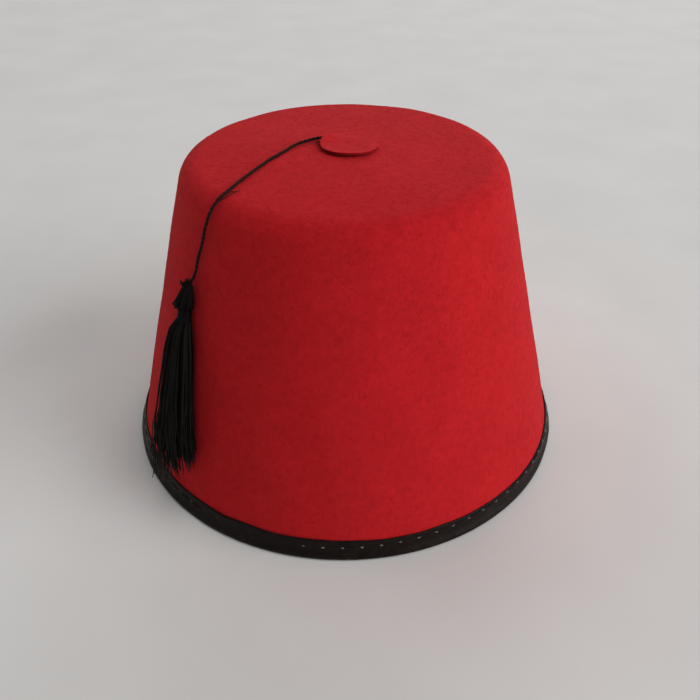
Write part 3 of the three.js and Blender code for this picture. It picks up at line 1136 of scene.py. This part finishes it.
def knot_bell(rng):
    """Threads folded over the cord's end that hang down as a bell, widest on the side away from the felt."""
    angle = rng.uniform(0, TURN, (BELL_THREADS, 1))
    depth = rng.uniform(*BELL_DEPTHS, (BELL_THREADS, 1))
    t = np.linspace(0, 1, BELL_STEPS)[None]
    tip = rng.uniform(*BELL_TIPS, (BELL_THREADS, 1))
    height = BELL_TOP + (tip - BELL_TOP) * np.interp(t, *BELL_DROP)
    flare = depth * np.interp(t, *BELL_FLARE)
    flare = flare * (1 + BELL_UNEVEN * rng.normal(size=(BELL_THREADS, 1)) * t**3)
    reach = np.where(np.cos(angle) > 0, BELL_FRONT, BELL_BACK) * np.cos(angle)
    reach = reach + BELL_KICK * np.clip(np.cos(angle), 0, 1) * t**3
    outwards = BELL_MIDDLE - BELL_LEAN * (1 - t) + flare * reach
    sideways = flare * BELL_HALF_WIDTH * np.sin(angle)
    return even_tubes(side_place(KNOT_AZIMUTH, height, sideways, outwards), BELL_RADIUS)


def knot_wrap():
    """One thread wound around the neck."""
    t = np.linspace(0, 1, WRAP_TURNS * WRAP_STEPS)
    spin = TURN * WRAP_TURNS * t
    sideways = WRAP_HALF_WIDTH * np.sin(spin)
    outwards = WRAP_MIDDLE + WRAP_HALF_DEPTH * np.cos(spin)
    path = side_place(KNOT_AZIMUTH, WRAP_BOTTOM + WRAP_HEIGHT * t, sideways, outwards)
    return even_tubes(path[None], WRAP_RADIUS, THICK_THREAD_SIDES)


def knot_tuft(rng, root, tip, top):
    """Cut ends that stick up beside the cord."""
    one_each = (TUFT_THREADS, 1)
    t = np.linspace(0, 1, TUFT_STEPS)[None]
    tops = top * MM + rng.normal(0, TUFT_TOP_SPREAD, one_each)
    height = TUFT_BOTTOM + (tops - TUFT_BOTTOM) * t
    roots = root * MM + rng.normal(0, TUFT_ROOT_SPREAD, one_each)
    lean = (tip - root) * MM + rng.normal(0, TUFT_TIP_SPREAD, one_each)
    outwards = np.maximum(roots + lean * t**1.3, TUFT_NEAREST)
    sideways = rng.normal(0, TUFT_SIDE_SPREAD, one_each) + rng.normal(0, TUFT_SPLAY, one_each) * t
    return even_tubes(side_place(KNOT_AZIMUTH, height, sideways, outwards), TUFT_RADIUS)


def add_knot(material):
    rng = np.random.default_rng(KNOT_SEED)
    shapes = [knot_bell(rng), knot_wrap()]
    shapes += [knot_tuft(rng, root, tip, top) for root, tip, top in TUFTS]
    points, faces = joined(shapes)
    return new_piece("knot_threads", points, faces, [material], ["tassel_knot"])


# The whole hat

add_camera()

thread = thread_material(TASSEL_THREAD)
worn_thread = thread_material(WORN_THREAD)
paler_stray_thread = thread_material(PALE_STRAY_THREAD)
cord_thread = thread_material(CORD_THREAD)
cord_route = np.array(CORD_UNDER_BUTTON + CORD_ROUTE + CORD_IN_TASSEL) * MM
cord_path = even_path(cord_route, CORD_SAMPLES)
cord = add_cord(cord_path, cord_thread)
loose = add_loose_threads(cord_thread)
fuzz = add_cord_fuzz(cord_path, cord_thread)
knot = add_knot(thread)
skirt = add_skirt([thread, worn_thread, paler_stray_thread])

add_floor()
for row in LAMPS:
    add_lamp(row)
add_studio()

felt = felt_material("red_felt", FELT_RED)
# The cut edge's felt is the red painted darker, as painted shade
edge_painted_shade_felt = felt_material("edge_painted_shade_felt", shaded(FELT_RED, CUT_EDGE_PAINTED_SHADE))
fibres = fibre_materials()
add_crown(felt)
add_binding(leatherette_material())
add_stitches(thread_material(LOOP_THREAD), thread_material(SEAM_THREAD))
add_button([felt, edge_painted_shade_felt])
for band in FIBRE_BANDS:
    add_crown_fibres(band, fibres)
add_button_fibres(fibres)
